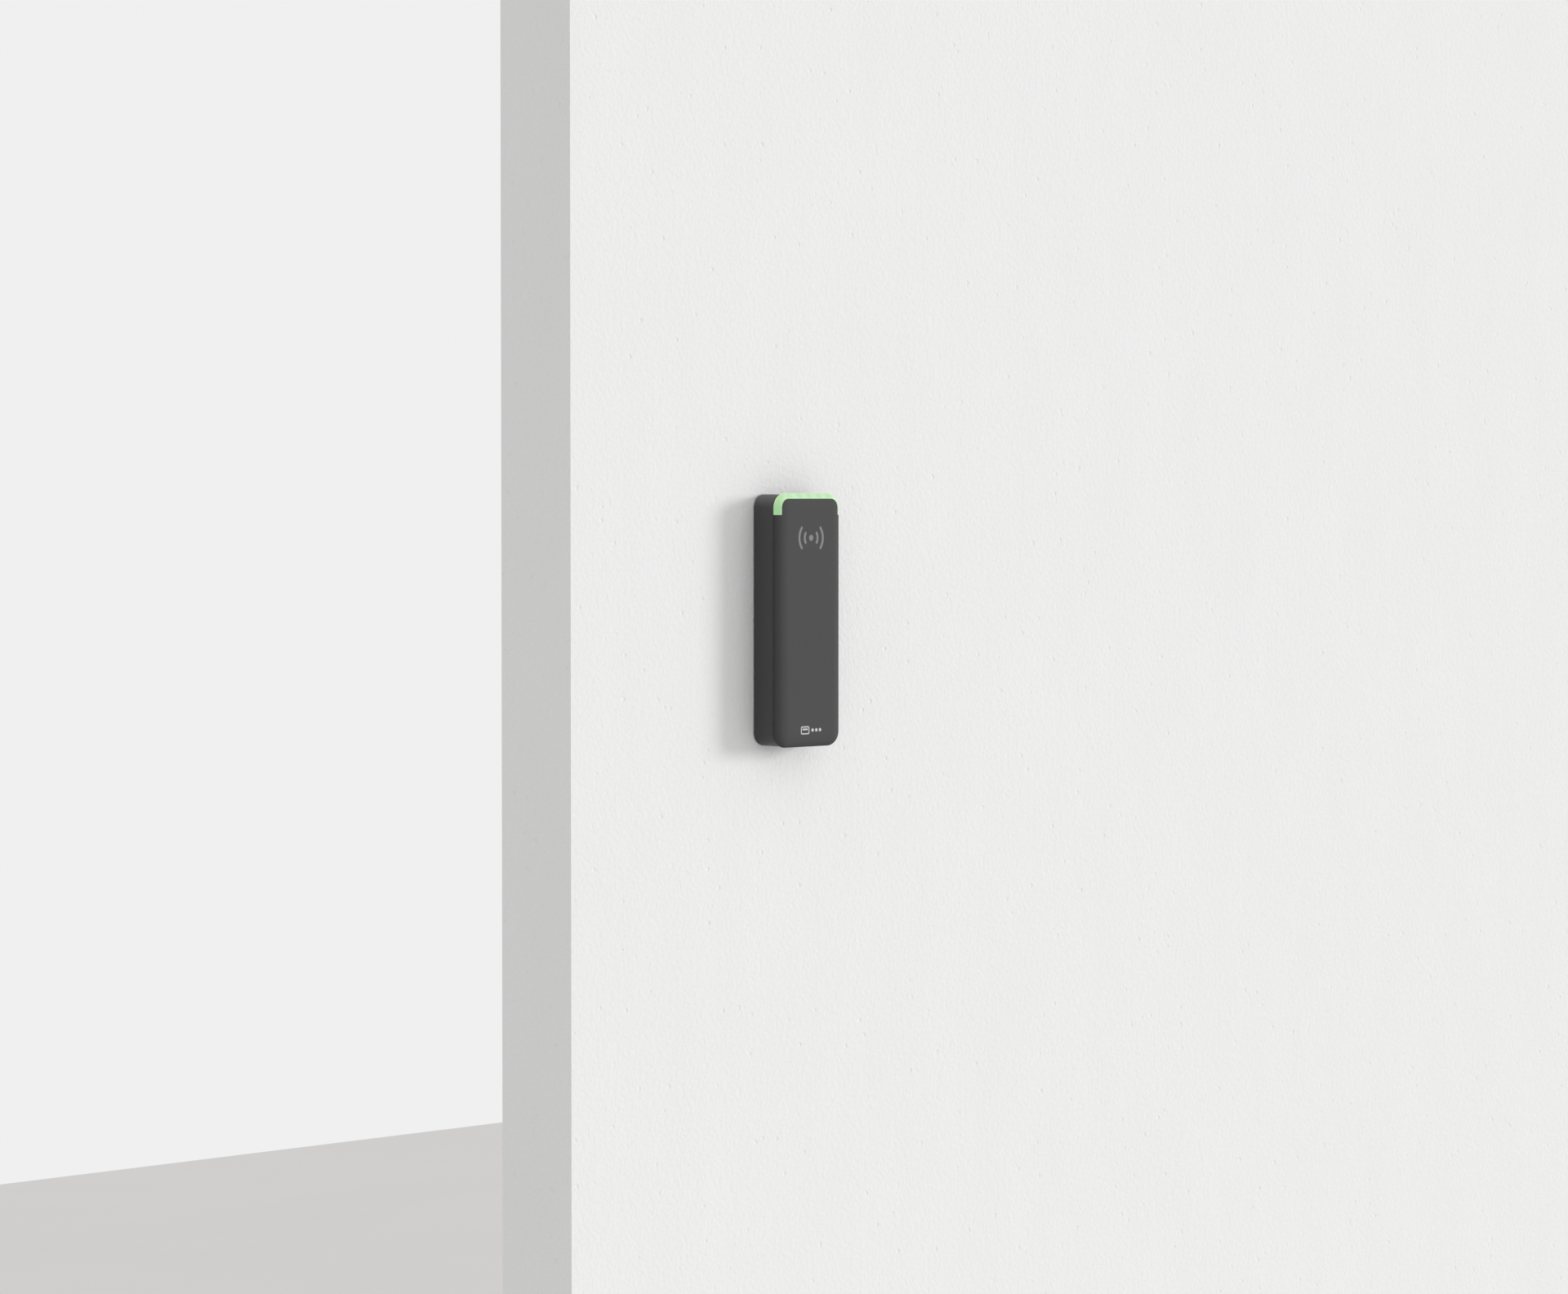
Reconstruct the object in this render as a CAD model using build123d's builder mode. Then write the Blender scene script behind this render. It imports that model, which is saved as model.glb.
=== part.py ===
from build123d import *

import math
import os

# Contactless card reader for a wall or a door mullion, in millimetres.
#
# X runs to the right, Z runs up and the wall is the plane Y = 0. The reader faces -Y.
# Depths are measured from the wall, so a depth d lies at Y = -d.
# The origin is on the wall, behind the middle of the front cover.

# --- the outside --------------------------------------------------------------------------
WIDTH = 42.6  # front cover, side to side
HEIGHT = 120.0  # front cover, top to bottom
DEPTH = 17.85  # wall to front face
COVER_R = 7.0  # corners of the front cover
EDGE_IN = 6.9  # the rolled edge round the front face reaches this far in
COVER_BACK = 13.6  # depth where the front cover starts
EDGE_BACK = 14.3  # depth where its rolled edge starts
REAR_R = 0.65  # rounding of the cover's rear edge, beside the seam
RIM = 13.2  # depth of the rear housing's front rim
SHELL = 2.0  # wall thickness of the housing and the cover
RIM_R = 0.5  # rounding of that rim
STEP = 0.55  # how far the housing is set in from the cover's outline
HOUSING_BACK = 0.2  # the housing stands this far off the wall
HOUSING_R = 6.4
HOUSING_W = WIDTH - 2 * STEP
HOUSING_H = HEIGHT - 2 * STEP
SEAL_IN = (1.15, 2.35)  # the seal in the seam, measured in from the cover's outline

# --- the light guide round the top edge ---------------------------------------------------
GUIDE_IN = 2.6  # its width, seen from the front
GUIDE_END = 49.75  # height where its two legs stop
PIPE_X = (-9.6, -3.2, 3.2, 9.6)  # the four light pipes that feed it
PIPE_END = 53.6
PIPE_ROOT = HEIGHT / 2 - GUIDE_IN + 0.2
PIPE_SLOT = 54.5  # where the slots for the pipes start

# --- the rear housing ---------------------------------------------------------------------
WEB_BACK = 6.0  # the web that closes the housing, with the plate's recess behind it
WEB_FRONT = 7.5
COLUMN_X = 15.0  # the four screw columns at the corners
COLUMN_Z = 53.0
BOARD_FIX = ((-14, 36), (14, 36), (-14, -30), (14, -30))
HATCH_FIX = ((-10, 15.5), (10, 15.5), (-10, -14.5), (10, -14.5))
CABLE_Z = -5.0  # height of the cable's way in

# --- the wall plate and how the reader hangs on it ----------------------------------------
PLATE_T = 2.0
PLATE_W = 36.9
PLATE_TOP = 56.5
PLATE_FOOT = -53.15
PLATE_R = 4.5  # wider than the recess's corners, which it must clear when lifted
LIFT = 4.0  # how far the reader is lifted to come off its hooks
GAP = 0.3  # clearance between pieces that move past each other
HOOK_X = 8.0
HOOK_W = 5.0
HOOK_Z = 48.0  # underside of the hooks
HOOK_T = 2.0
LIP = 3.4  # height of the lip above the hook
LIP_BACK = WEB_FRONT + GAP  # depth where the lip starts, in front of the housing's web
SINGLE_GANG = 83.3  # hole spacing of a wall box with one gang
ROUND_BOX = 60.0  # hole spacing of a round wall box
SLOT_MID = 5.35  # middle height of the slotted pair
HOLE_MID = 4.0  # middle height of the round pair

# --- the locking screw in the bottom edge -------------------------------------------------
LOCK_D = 3.3  # depth of its axis
LOCK_R = 1.25
LOCK_HEAD_R = 2.3
LOCK_SEAT = -58.0
LOCK_TIP = -46.8
LUG_FOOT = -51.7
LUG_TOP = -47.2

# --- the tamper plunger -------------------------------------------------------------------
TAMPER = (11.0, 28.0)
TAMPER_R = 1.2
RAMP = 0.2  # depth lost per millimetre of lift

# --- the boards inside --------------------------------------------------------------------
BOARD_BACK = 11.0
BOARD_FRONT = 12.6
AERIAL_BACK = 14.75
AERIAL_FRONT = 15.35
PLUNGER_FRONT = BOARD_BACK - 1.6

# --- the printed marks --------------------------------------------------------------------
MARK_T = 0.3
SYMBOL_Z = 38.9
WAVES = ((4.3, 31), (7.85, 37))  # radius and half angle of each pair of waves
WAVE_W = 1.3
GLYPH_Z = -52.0

os.makedirs("parts", exist_ok=True)
made = []


def at(depth):
    """A sketch plane parallel to the wall, with local x along X and local y along Z."""
    return Plane.XZ.offset(depth)


def keep(builder, name):
    """Label a finished sub-part and list it for export."""
    builder.part.label = name
    made.append(builder.part)


corners = [(x, z) for x in (-COLUMN_X, COLUMN_X) for z in (-COLUMN_Z, COLUMN_Z)]

# ==========================================================================================
# Wall plate
# ==========================================================================================
plate_mid = (PLATE_TOP + PLATE_FOOT) / 2

with BuildPart() as mounting_plate:
    with BuildSketch(at(0)):
        with Locations((0, plate_mid)):
            RectangleRounded(PLATE_W, PLATE_TOP - PLATE_FOOT, PLATE_R)
        # the way through for the cable
        with Locations((0, -7)):
            RectangleRounded(22, 24, 3, mode=Mode.SUBTRACT)
        # fixings for a round wall box
        with Locations((0, HOLE_MID - ROUND_BOX / 2), (0, HOLE_MID + ROUND_BOX / 2)):
            Circle(2.2, mode=Mode.SUBTRACT)
        # slotted fixings for a single-gang wall box
        with Locations((0, SLOT_MID - SINGLE_GANG / 2), (0, SLOT_MID + SINGLE_GANG / 2)):
            SlotOverall(7.0, 4.2, rotation=90, mode=Mode.SUBTRACT)
        # room for the housing's screw boss, and for the screw's tip above the lug
        with Locations((0, PLATE_FOOT)):
            Rectangle(10, 2 * (LUG_FOOT - PLATE_FOOT), mode=Mode.SUBTRACT)
        with Locations((0, LUG_TOP + 2.45)):
            Rectangle(3.2, 4.9, mode=Mode.SUBTRACT)
        # notches that mark the middle height for levelling
        with Locations((-PLATE_W / 2, 0), (PLATE_W / 2, 0)):
            Rectangle(1.6, 1.6, rotation=45, mode=Mode.SUBTRACT)
    extrude(amount=PLATE_T)
    chamfer(mounting_plate.faces().sort_by(Axis.Y)[0].outer_wire().edges(), 0.4)
    # weight-saving pockets in the back
    with BuildSketch(at(0)):
        with Locations((-13.8, 22), (13.8, 9)):
            RectangleRounded(5.4, 20, 1.5)
        with Locations((-13.8, -32), (13.8, -32)):
            RectangleRounded(5.4, 26, 1.5)
    extrude(amount=0.8, mode=Mode.SUBTRACT)
    # an arrow in the back that says which way is up
    with BuildSketch(at(0)):
        with Locations((-13.8, 46)):
            RegularPolygon(2.6, 3, rotation=90)
        with Locations((-13.8, 42.4)):
            Rectangle(1.5, 5)
    extrude(amount=0.5, mode=Mode.SUBTRACT)
    # two hooks, each a stalk through the housing's web and a lip in front of it
    for side in (-HOOK_X, HOOK_X):
        with BuildSketch(Plane.YZ.offset(side - HOOK_W / 2)):
            with BuildLine():
                Polyline(
                    (-PLATE_T + 0.2, HOOK_Z),
                    (-PLATE_T + 0.2, HOOK_Z + HOOK_T),
                    (-LIP_BACK, HOOK_Z + HOOK_T),
                    (-LIP_BACK, HOOK_Z + HOOK_T + LIP - 0.6),
                    (-LIP_BACK - 0.6, HOOK_Z + HOOK_T + LIP),
                    (-LIP_BACK - 1.2, HOOK_Z + HOOK_T + LIP),
                    (-LIP_BACK - 1.2, HOOK_Z),
                    close=True,
                )
            make_face()
        extrude(amount=HOOK_W)
    # gussets under the stalks
    with BuildSketch(at(PLATE_T)):
        with Locations((-HOOK_X, HOOK_Z - 0.9), (HOOK_X, HOOK_Z - 0.9)):
            Rectangle(1.2, 1.8)
    extrude(amount=1.6)
    # the lug that takes the locking screw
    with BuildSketch(at(0)):
        with Locations((0, (LUG_FOOT + LUG_TOP) / 2)):
            Rectangle(8, LUG_TOP - LUG_FOOT)
    extrude(amount=WEB_BACK - GAP)
    with BuildSketch(Plane.XY.offset(LUG_FOOT)):
        with Locations((0, -LOCK_D)):
            Circle(1.8)
    extrude(amount=LUG_TOP - LUG_FOOT, mode=Mode.SUBTRACT)
    # the ramp that lets the tamper plunger out as the reader is lifted
    with BuildSketch(Plane.YZ.offset(TAMPER[0] - 1.6)):
        with BuildLine():
            Polyline(
                (-PLATE_T, TAMPER[1] - TAMPER_R),
                (-PLATE_T - 1, TAMPER[1] - TAMPER_R),
                (-PLATE_T - 1, TAMPER[1] + LIFT + 1.6),
                (-PLATE_T + RAMP * (LIFT + 1.6 + TAMPER_R), TAMPER[1] + LIFT + 1.6),
                close=True,
            )
        make_face()
    extrude(amount=3.2, mode=Mode.SUBTRACT)
keep(mounting_plate, "mounting_plate")

with BuildPart() as lock_insert:
    with BuildSketch(Plane.XY.offset(LUG_FOOT)):
        with Locations((0, -LOCK_D)):
            Circle(1.8)
            Circle(LOCK_R + 0.05, mode=Mode.SUBTRACT)
    extrude(amount=LUG_TOP - LUG_FOOT)
    # the groove between its two knurled bands
    with BuildSketch(Plane.XY.offset(LUG_FOOT + 1.9)):
        with Locations((0, -LOCK_D)):
            Circle(2.2)
            Circle(1.6, mode=Mode.SUBTRACT)
    extrude(amount=0.7, mode=Mode.SUBTRACT)
keep(lock_insert, "lock_insert")

with BuildPart() as lock_screw:
    with BuildSketch(Plane.XY.offset(LOCK_SEAT - 1.4)):
        with Locations((0, -LOCK_D)):
            Circle(LOCK_HEAD_R)
    extrude(amount=1.4)
    fillet(lock_screw.faces().sort_by(Axis.Z)[0].edges(), 0.45)
    with BuildSketch(Plane.XY.offset(LOCK_SEAT)):
        with Locations((0, -LOCK_D)):
            Circle(LOCK_R)
    extrude(amount=LOCK_TIP - LOCK_SEAT)
    chamfer(lock_screw.faces().sort_by(Axis.Z)[-1].edges(), 0.4)
    # six-lobed socket with a security pin
    with BuildSketch(Plane.XY.offset(LOCK_SEAT - 1.4)):
        with Locations((0, -LOCK_D)):
            Circle(0.95)
            with PolarLocations(0.95, 6):
                Circle(0.26)
            Circle(0.36, mode=Mode.SUBTRACT)
    extrude(amount=0.9, mode=Mode.SUBTRACT)
keep(lock_screw, "lock_screw")

# ==========================================================================================
# Rear housing
# ==========================================================================================
with BuildPart() as rear_housing:
    with BuildSketch(at(HOUSING_BACK)):
        RectangleRounded(HOUSING_W, HOUSING_H, HOUSING_R)
    extrude(amount=RIM - HOUSING_BACK)
    fillet(rear_housing.faces().sort_by(Axis.Y)[-1].edges(), 0.3)
    fillet(rear_housing.faces().sort_by(Axis.Y)[0].edges(), RIM_R)
    with BuildSketch(at(HOUSING_BACK)):
        RectangleRounded(HOUSING_W - 2 * SHELL, HOUSING_H - 2 * SHELL, HOUSING_R - SHELL)
    extrude(amount=WEB_BACK - HOUSING_BACK, mode=Mode.SUBTRACT)
    with BuildSketch(at(WEB_FRONT)):
        RectangleRounded(HOUSING_W - 2 * SHELL, HOUSING_H - 2 * SHELL, HOUSING_R - SHELL)
    extrude(amount=RIM - WEB_FRONT, mode=Mode.SUBTRACT)
    # four columns that carry the cover's screws
    with BuildSketch(at(WEB_FRONT)):
        with Locations(*corners):
            Circle(3.2)
    extrude(amount=COVER_BACK - WEB_FRONT)
    # stand-offs for the main board
    with BuildSketch(at(WEB_FRONT)):
        with Locations(*BOARD_FIX):
            Circle(2.3)
    extrude(amount=BOARD_BACK - WEB_FRONT)
    # stiffening ribs across the web
    with BuildSketch(at(WEB_FRONT)):
        with Locations((0, 40.5), (0, -44)):
            Rectangle(HOUSING_W - 2 * SHELL, 1.2)
    extrude(amount=1.4)
    # bosses for the hatch screws
    with BuildSketch(at(WEB_FRONT)):
        with Locations(*HATCH_FIX):
            Circle(2.2)
    extrude(amount=1.9)
    # the sleeve that guides the tamper plunger
    with BuildSketch(at(WEB_BACK - 1.2)):
        with Locations(TAMPER):
            Circle(2.4)
    extrude(amount=1.2)
    # the boss under the locking screw
    with BuildSketch(at(HOUSING_BACK)):
        with Locations((0, -57.0)):
            Rectangle(9, 2.0)
    extrude(amount=WEB_BACK - HOUSING_BACK)
    # holes for the cover screws, with room for their heads
    with BuildSketch(at(WEB_BACK)):
        with Locations(*corners):
            Circle(2.3)
    extrude(amount=2.2, mode=Mode.SUBTRACT)
    with BuildSketch(at(WEB_BACK)):
        with Locations(*corners):
            Circle(1.2)
    extrude(amount=COVER_BACK - WEB_BACK, mode=Mode.SUBTRACT)
    with BuildSketch(at(WEB_FRONT + 0.4)):
        with Locations(*BOARD_FIX):
            Circle(0.85)
    extrude(amount=BOARD_BACK - WEB_FRONT - 0.4, mode=Mode.SUBTRACT)
    with BuildSketch(at(WEB_BACK)):
        with Locations(*HATCH_FIX):
            Circle(0.85)
        # the window behind the terminals
        with Locations((0, 0.5)):
            RectangleRounded(26, 25, 2)
        # slots that drop behind the plate's hooks
        with Locations((-HOOK_X, 46.95), (HOOK_X, 46.95)):
            Rectangle(HOOK_W + 2 * GAP, 6.7)
    extrude(amount=3.4, mode=Mode.SUBTRACT)
    with BuildSketch(at(WEB_BACK - 1.2)):
        with Locations(TAMPER):
            Circle(TAMPER_R + 0.05)
    extrude(amount=2.7, mode=Mode.SUBTRACT)
    # the locking screw's hole and the well for its head
    with BuildSketch(Plane.XY.offset(-HEIGHT / 2)):
        with Locations((0, -LOCK_D)):
            Circle(LOCK_HEAD_R + 0.35)
    extrude(amount=LOCK_SEAT + HEIGHT / 2, mode=Mode.SUBTRACT)
    with BuildSketch(Plane.XY.offset(-HEIGHT / 2)):
        with Locations((0, -LOCK_D)):
            Circle(LOCK_R + 0.05)
    extrude(amount=5, mode=Mode.SUBTRACT)
keep(rear_housing, "rear_housing")

with BuildPart() as terminal_hatch:
    with BuildSketch(at(WEB_BACK - 1.4)):
        with Locations((0, 0.5)):
            RectangleRounded(31, 35, 2)
        with Locations((0, CABLE_Z)):
            Circle(5.0, mode=Mode.SUBTRACT)
        with Locations(*HATCH_FIX):
            Circle(1.1, mode=Mode.SUBTRACT)
    extrude(amount=1.4)
    chamfer(terminal_hatch.faces().sort_by(Axis.Y)[-1].outer_wire().edges(), 0.4)
    # a shallow field between the screws
    with BuildSketch(at(WEB_BACK - 1.4)):
        with Locations((0, 8.4)):
            RectangleRounded(16, 6, 1)
    extrude(amount=0.4, mode=Mode.SUBTRACT)
keep(terminal_hatch, "terminal_hatch")

with BuildPart() as cable_grommet:
    with BuildSketch(at(3.6)):
        with Locations((0, CABLE_Z)):
            Circle(6.0)
    extrude(amount=1.0)
    fillet(cable_grommet.faces().sort_by(Axis.Y)[-1].edges(), 0.4)
    with BuildSketch(at(4.6)):
        with Locations((0, CABLE_Z)):
            Circle(5.0)
    extrude(amount=1.4)
    with BuildSketch(at(6.0)):
        with Locations((0, CABLE_Z)):
            Circle(6.0)
    extrude(amount=1.0)
    with BuildSketch(at(3.6)):
        with Locations((0, CABLE_Z)):
            Circle(3.0)
    extrude(amount=3.4, mode=Mode.SUBTRACT)
keep(cable_grommet, "cable_grommet")

with BuildPart() as hatch_screws:
    with BuildSketch(at(3.5)):
        with Locations(*HATCH_FIX):
            Circle(1.8)
    extrude(amount=1.1)
    with BuildSketch(at(3.5)):
        with Locations(*HATCH_FIX):
            Rectangle(2.0, 0.5)
            Rectangle(0.5, 2.0)
    extrude(amount=0.6, mode=Mode.SUBTRACT)
    with BuildSketch(at(4.6)):
        with Locations(*HATCH_FIX):
            Circle(0.8)
    extrude(amount=4.6)
keep(hatch_screws, "hatch_screws")

with BuildPart() as housing_seal:
    with BuildSketch(at(RIM)):
        for inset, how in zip(SEAL_IN, (Mode.ADD, Mode.SUBTRACT)):
            RectangleRounded(WIDTH - 2 * inset, HEIGHT - 2 * inset, COVER_R - inset, mode=how)
    extrude(amount=COVER_BACK - RIM)
keep(housing_seal, "housing_seal")

with BuildPart() as housing_screws:
    with BuildSketch(at(6.6)):
        with Locations(*corners):
            Circle(2.0)
    extrude(amount=1.6)
    with BuildSketch(at(6.6)):
        with Locations(*corners):
            Rectangle(2.2, 0.55)
            Rectangle(0.55, 2.2)
    extrude(amount=0.9, mode=Mode.SUBTRACT)
    with BuildSketch(at(8.2)):
        with Locations(*corners):
            Circle(1.1)
    extrude(amount=COVER_BACK + 1.9 - 8.2)
keep(housing_screws, "housing_screws")

# ==========================================================================================
# Front cover and its light guide
# ==========================================================================================
# The rounded block that the cover and the guide are both cut from. Its rolled edge is a
# quarter of an ellipse: a round edge on a block that is too deep, which is then flattened.
squash = (DEPTH - EDGE_BACK) / EDGE_IN
with BuildPart() as rolled_block:
    with BuildSketch(Plane.XZ):
        RectangleRounded(WIDTH, HEIGHT, COVER_R)
    extrude(amount=EDGE_IN)
    fillet(rolled_block.faces().sort_by(Axis.Y)[0].edges(), EDGE_IN - 0.02)
    scale(by=(1, squash, 1))

# behind it, a straight slab with its rear edge rounded into the seam
with BuildPart() as cover_block:
    with BuildSketch(at(COVER_BACK)):
        RectangleRounded(WIDTH, HEIGHT, COVER_R)
    extrude(amount=EDGE_BACK - COVER_BACK)
    fillet(cover_block.faces().sort_by(Axis.Y)[-1].edges(), REAR_R)
    add(rolled_block.part.moved(Location((0, -EDGE_BACK, 0))))

# the band of that block that belongs to the guide
with BuildPart() as guide_band:
    with BuildSketch(at(COVER_BACK - 1)):
        with Locations((0, (GUIDE_END + 65) / 2)):
            Rectangle(WIDTH + 4, 65 - GUIDE_END)
        RectangleRounded(
            WIDTH - 2 * GUIDE_IN,
            HEIGHT - 2 * GUIDE_IN,
            COVER_R - GUIDE_IN,
            mode=Mode.SUBTRACT,
        )
    extrude(amount=DEPTH)

# the hollow inside the cover
with BuildPart() as cover_hollow:
    with BuildSketch(at(COVER_BACK)):
        RectangleRounded(WIDTH - 2 * SHELL, 94, 2.5)
        RectangleRounded(WIDTH - 9, 110, 2.5)
    extrude(amount=DEPTH - COVER_BACK - SHELL)
    fillet(cover_hollow.faces().sort_by(Axis.Y)[0].edges(), 2.0)

with BuildPart() as contactless_symbol:
    with BuildSketch(at(DEPTH - MARK_T)):
        with Locations((0, SYMBOL_Z)):
            Circle(1.45)
        for radius, half in WAVES:
            for side in (0, 180):
                with BuildLine():
                    wave = CenterArc((0, SYMBOL_Z), radius, side - half, 2 * half)
                trace(line_width=WAVE_W)
                with Locations(wave @ 0, wave @ 1):
                    Circle(WAVE_W / 2)
    extrude(amount=MARK_T)
keep(contactless_symbol, "contactless_symbol")

with BuildPart() as card_glyph:
    with BuildSketch(at(DEPTH - MARK_T)):
        with Locations((-4.0, GLYPH_Z)):
            RectangleRounded(5.6, 3.8, 0.8)
            RectangleRounded(4.5, 2.7, 0.35, mode=Mode.SUBTRACT)
        with Locations((-4.0, GLYPH_Z + 0.45)):
            Rectangle(3.5, 0.75)
        with Locations((1.0, GLYPH_Z), (3.5, GLYPH_Z), (6.0, GLYPH_Z)):
            Circle(0.8)
    extrude(amount=MARK_T)
keep(card_glyph, "card_glyph")

with BuildPart() as front_cover:
    add(cover_block.part)
    add(guide_band.part, mode=Mode.SUBTRACT)
    add(cover_hollow.part, mode=Mode.SUBTRACT)
    # bosses that take the housing screws
    with BuildSketch(at(COVER_BACK)):
        with Locations(*corners):
            Circle(2.6)
    extrude(amount=DEPTH - COVER_BACK - SHELL)
    with BuildSketch(at(COVER_BACK)):
        with Locations(*corners):
            Circle(1.13)
    extrude(amount=2.3, mode=Mode.SUBTRACT)
    # slots for the light pipes
    with BuildSketch(at(COVER_BACK)):
        with Locations(*[(x, (PIPE_ROOT + PIPE_SLOT) / 2) for x in PIPE_X]):
            Rectangle(2.8, PIPE_ROOT - PIPE_SLOT)
    extrude(amount=1.5, mode=Mode.SUBTRACT)
    # pockets for the printed marks
    add(contactless_symbol.part, mode=Mode.SUBTRACT)
    add(card_glyph.part, mode=Mode.SUBTRACT)
keep(front_cover, "front_cover")

with BuildPart() as light_guide:
    add(cover_block.part)
    add(guide_band.part, mode=Mode.INTERSECT)
    with BuildSketch(at(COVER_BACK + 0.1)):
        with Locations(*[(x, (PIPE_ROOT + PIPE_END) / 2) for x in PIPE_X]):
            Rectangle(2.2, PIPE_ROOT - PIPE_END)
    extrude(amount=1.2)
keep(light_guide, "light_guide")

# ==========================================================================================
# Boards and what is on them
# ==========================================================================================
with BuildPart() as main_board:
    with BuildSketch(at(BOARD_BACK)):
        RectangleRounded(36.8, 114, 2.5)
        # the corners are notched round the screw columns
        with Locations(*[(math.copysign(16.7, x), math.copysign(55, z)) for x, z in corners]):
            RectangleRounded(10.6, 11.6, 3, mode=Mode.SUBTRACT)
        with Locations(*BOARD_FIX):
            Circle(1.0, mode=Mode.SUBTRACT)
    extrude(amount=BOARD_FRONT - BOARD_BACK)
keep(main_board, "main_board")

with BuildPart() as board_screws:
    with BuildSketch(at(BOARD_FRONT)):
        with Locations(*BOARD_FIX):
            Circle(1.7)
    extrude(amount=1.1)
    with BuildSketch(at(BOARD_FRONT + 0.5)):
        with Locations(*BOARD_FIX):
            Rectangle(1.8, 0.5)
            Rectangle(0.5, 1.8)
    extrude(amount=0.6, mode=Mode.SUBTRACT)
    with BuildSketch(at(8.2)):
        with Locations(*BOARD_FIX):
            Circle(0.8)
    extrude(amount=BOARD_FRONT - 8.2)
keep(board_screws, "board_screws")

HEADER = [(x, -40.8) for x in (-3.0, -1.0, 1.0, 3.0)]

with BuildPart() as antenna_board:
    with BuildSketch(at(AERIAL_BACK)):
        RectangleRounded(33, 84, 2)
        with Locations(*HEADER):
            Circle(0.35, mode=Mode.SUBTRACT)
    extrude(amount=AERIAL_FRONT - AERIAL_BACK)
keep(antenna_board, "antenna_board")

# a rectangular spiral, wound inwards one pitch per turn
spiral = []
for turn in range(5):
    half_w = 15.4 - 1.4 * turn
    half_h = 38.4 - 1.4 * turn
    spiral.append((-half_w, -half_h - (1.4 if turn else 0)))
    spiral.append((-half_w, half_h))
    spiral.append((half_w, half_h))
    spiral.append((half_w, -half_h))

with BuildPart() as antenna_coil:
    with BuildSketch(at(AERIAL_FRONT)):
        with BuildLine():
            Polyline(*spiral)
        trace(line_width=0.6)
    extrude(amount=0.1)
keep(antenna_coil, "antenna_coil")

with BuildPart() as ferrite_sheet:
    with BuildSketch(at(AERIAL_BACK - 0.3)):
        RectangleRounded(28, 78, 1)
    extrude(amount=0.3)
keep(ferrite_sheet, "ferrite_sheet")

with BuildPart() as antenna_spacers:
    with BuildSketch(at(BOARD_FRONT)):
        with GridLocations(30.4, 81, 2, 2):
            Circle(0.9)
    extrude(amount=AERIAL_BACK - BOARD_FRONT)
keep(antenna_spacers, "antenna_spacers")

with BuildPart() as header_pins:
    with BuildSketch(at(BOARD_FRONT)):
        with Locations(*HEADER):
            Circle(0.3)
    extrude(amount=AERIAL_FRONT + 0.2 - BOARD_FRONT)
keep(header_pins, "header_pins")

with BuildPart() as status_leds:
    with BuildSketch(at(BOARD_FRONT)):
        with Locations(*[(x, 54.3) for x in PIPE_X]):
            Rectangle(2.0, 1.3)
    extrude(amount=0.8)
keep(status_leds, "status_leds")

with BuildPart() as radio_shield:
    with BuildSketch(at(BOARD_FRONT)):
        with Locations((0, 28)):
            RectangleRounded(14, 11, 0.6)
    extrude(amount=1.7)
    with BuildSketch(at(BOARD_FRONT)):
        with Locations((0, 28)):
            Rectangle(13.4, 10.4)
    extrude(amount=1.4, mode=Mode.SUBTRACT)
keep(radio_shield, "radio_shield")

with BuildPart() as radio_chip:
    with BuildSketch(at(BOARD_FRONT)):
        with Locations((0, 28)):
            Rectangle(5, 5)
    extrude(amount=0.9)
keep(radio_chip, "radio_chip")

with BuildPart() as controller_chip:
    with BuildSketch(at(BOARD_FRONT + 0.1)):
        with Locations((0, 6)):
            RectangleRounded(9, 9, 0.3)
    extrude(amount=1.2)
keep(controller_chip, "controller_chip")

with BuildPart() as controller_leads:
    with BuildSketch(at(BOARD_FRONT)):
        with Locations((-4.95, 6), (4.95, 6)):
            with GridLocations(1, 0.75, 1, 11):
                Rectangle(0.9, 0.3)
        with Locations((0, 1.05), (0, 10.95)):
            with GridLocations(0.75, 1, 11, 1):
                Rectangle(0.3, 0.9)
    extrude(amount=0.25)
keep(controller_leads, "controller_leads")

with BuildPart() as reader_chip:
    with BuildSketch(at(BOARD_FRONT)):
        with Locations((0, -12)):
            Rectangle(6, 6)
    extrude(amount=0.9)
keep(reader_chip, "reader_chip")

with BuildPart() as crystals:
    with BuildSketch(at(BOARD_FRONT)):
        with Locations((7.6, -12), (8.4, 6)):
            RectangleRounded(3.2, 2.5, 0.3)
    extrude(amount=0.7)
keep(crystals, "crystals")

with BuildPart() as chip_capacitors:
    with BuildSketch(at(BOARD_FRONT)):
        with Locations((0, -20)):
            with GridLocations(3.2, 2.4, 5, 2):
                Rectangle(1.6, 0.8)
        with Locations((-9.5, 6)):
            with GridLocations(3, 3, 1, 3):
                Rectangle(1.6, 0.8)
        with Locations((0, 48)):
            with GridLocations(6.4, 1, 4, 1):
                Rectangle(1.6, 0.8)
    extrude(amount=0.8)
keep(chip_capacitors, "chip_capacitors")

with BuildPart() as buzzer:
    with BuildSketch(at(BOARD_BACK - 2.8)):
        with Locations((0, -24)):
            Circle(4.8)
    extrude(amount=2.8)
    with BuildSketch(at(BOARD_BACK - 2.8)):
        with Locations((0, -24)):
            Circle(0.9)
    extrude(amount=1.2, mode=Mode.SUBTRACT)
keep(buzzer, "buzzer")

with BuildPart() as power_inductor:
    with BuildSketch(at(BOARD_BACK - 2.6)):
        with Locations((-8, -38)):
            RectangleRounded(6, 6, 1.4)
    extrude(amount=2.6)
keep(power_inductor, "power_inductor")

with BuildPart() as voltage_regulator:
    with BuildSketch(at(BOARD_BACK - 1.6)):
        with Locations((6, -38)):
            Rectangle(6.5, 3.5)
    extrude(amount=1.6)
keep(voltage_regulator, "voltage_regulator")

POLES = [(-8.75 + 3.5 * i, 7.0) for i in range(6)]

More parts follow.
